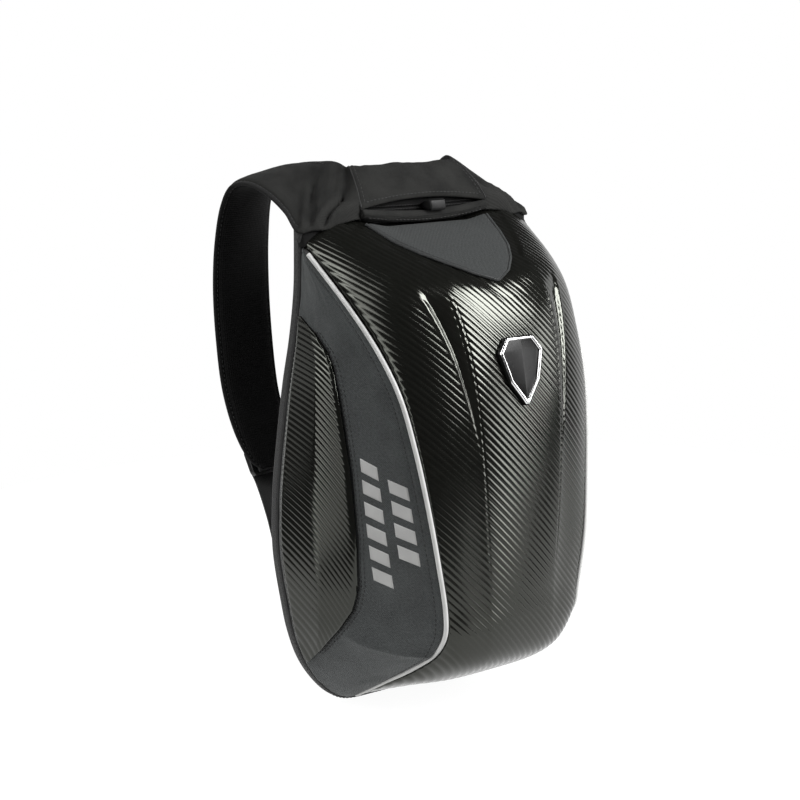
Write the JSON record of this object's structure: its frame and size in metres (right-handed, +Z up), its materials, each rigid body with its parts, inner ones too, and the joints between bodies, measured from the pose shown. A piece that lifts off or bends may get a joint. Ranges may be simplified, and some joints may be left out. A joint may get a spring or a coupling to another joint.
{
  "type": "motorcycle backpack",
  "caption": "Hard-shell motorcycle backpack: ribbed carbon-look front shell, cloth sides with reflective piping, padded back, zipped top under a yoke and padded shoulder straps.",
  "frame": {"origin": "middle of the back panel's outer face, where it lies on the wearer's back", "axes": "+Z up, +Y out of the back panel to the wearer, +X to the right of someone facing the shell"},
  "size_m": [0.3048, 0.2644, 0.4644],
  "materials": {
    "carbon": "ribbed carbon-look skin with a soft gloss",
    "panel_cloth": "coated woven nylon, matte",
    "stretch_cloth": "stretch woven cloth, matte",
    "mesh_cloth": "air mesh",
    "trim": "woven tape",
    "reflective": "reflective coated piping, satin",
    "buckle_plastic": "moulded, satin",
    "badge_plastic": "gloss",
    "badge_rim": "plated"
  },
  "bodies": {
    "root": {"shell": "carbon", "top_inset": "panel_cloth", "edge_binding": "trim", "back_panel": "mesh_cloth", "side_panel_left": "panel_cloth", "side_panel_right": "panel_cloth", "side_inset_left": "carbon", "side_inset_right": "carbon", "reflective_piping_left": "reflective", "reflective_piping_right": "reflective", "yoke_panel": "stretch_cloth", "shoulder_strap_left": "stretch_cloth", "shoulder_strap_right": "stretch_cloth", "ladder_buckle_left": "buckle_plastic", "ladder_buckle_right": "buckle_plastic", "webbing_left": "trim", "webbing_right": "trim", "zip_flap": "stretch_cloth", "zip_tape": "trim", "zip_pull": "buckle_plastic", "badge_base": "badge_plastic", "badge_frame": "badge_rim"}
  },
  "joints": []
}
